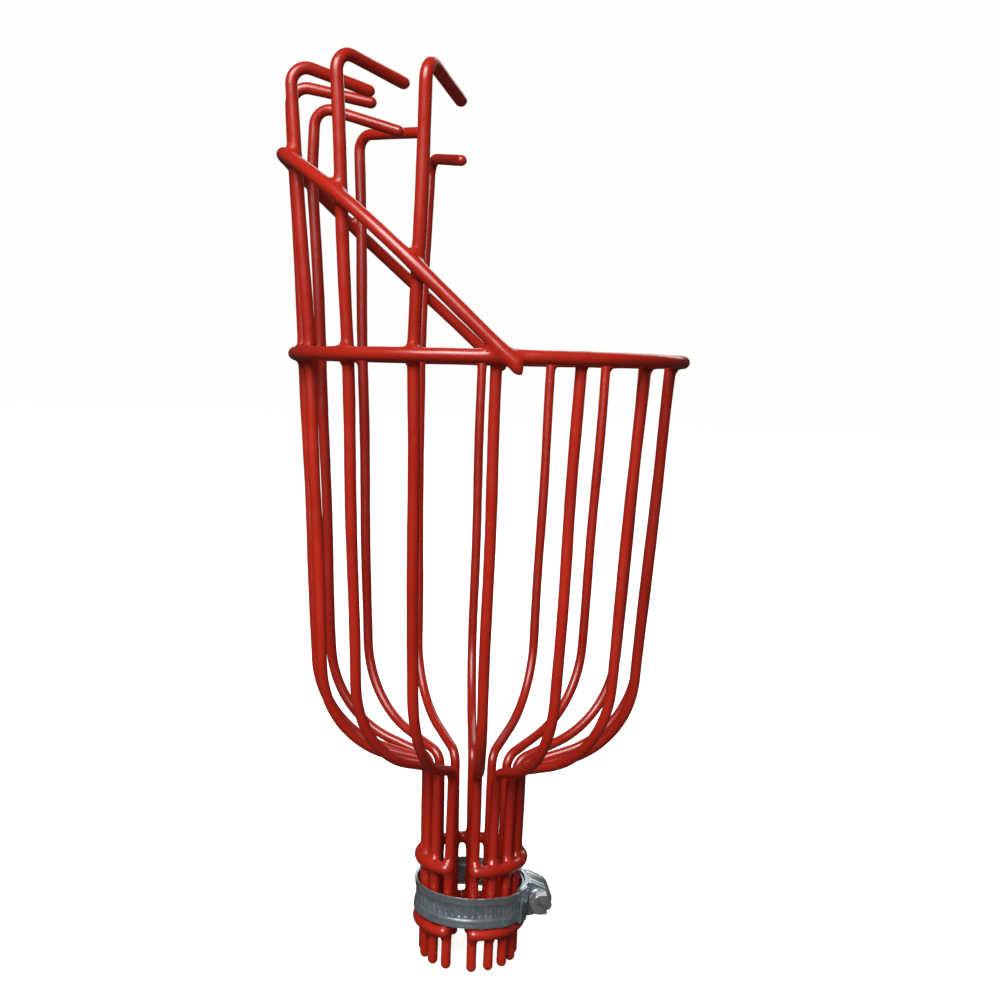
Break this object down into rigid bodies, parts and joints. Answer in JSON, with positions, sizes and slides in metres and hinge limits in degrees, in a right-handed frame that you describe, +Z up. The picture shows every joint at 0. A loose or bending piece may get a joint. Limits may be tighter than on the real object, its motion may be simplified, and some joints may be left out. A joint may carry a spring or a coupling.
{
  "type": "fruit picker basket",
  "caption": "Vinyl-coated wire cup with inward-hooked fingers, sloped guard hoop, round rim and a clamped neck cage that fits over a picking pole.",
  "frame": {"origin": "centre of the neck cage's open mouth, in the plane of the wires' lower tips", "axes": "+Z up along the neck cage's axis, from the mouth to the cup; fingers on the -X side, low picking lip on the +X side; clamp screw on the +X side with its head towards -Y"},
  "size_m": [0.1454, 0.1452, 0.3107],
  "materials": {
    "red_vinyl": "glossy dipped vinyl",
    "zinc_plate": "zinc-plated, blue-grey",
    "screw_steel": "zinc-plated, bright"
  },
  "bodies": {
    "basket_frame": {"finger_wire_1": "red_vinyl", "finger_wire_2": "red_vinyl", "finger_wire_3": "red_vinyl", "finger_wire_4": "red_vinyl", "finger_wire_5": "red_vinyl", "finger_wire_6": "red_vinyl", "finger_wire_7": "red_vinyl", "basket_wire_1": "red_vinyl", "basket_wire_2": "red_vinyl", "basket_wire_3": "red_vinyl", "basket_wire_4": "red_vinyl", "basket_wire_5": "red_vinyl", "basket_wire_6": "red_vinyl", "basket_wire_7": "red_vinyl", "basket_wire_8": "red_vinyl", "basket_wire_9": "red_vinyl", "rim_hoop": "red_vinyl", "guard_hoop": "red_vinyl", "upper_collar": "red_vinyl", "lower_collar": "red_vinyl"},
    "clamp": {"clamp_band": "zinc_plate", "clamp_saddle": "zinc_plate", "clamp_housing": "zinc_plate"},
    "screw": {"worm_screw": "screw_steel"}
  },
  "joints": [
    {"name": "clamp_turn", "type": "hinge", "parent": "basket_frame", "child": "clamp", "pos_m": [0, 0, 0.02305], "axis": [0.0222, -0.0222, 0.9995], "continuous": true},
    {"name": "screw_turn", "type": "hinge", "parent": "clamp", "child": "screw", "pos_m": [0.02481, 0.00131, 0.02253], "axis": [0.0521, -0.9984, -0.0233], "continuous": true}
  ]
}
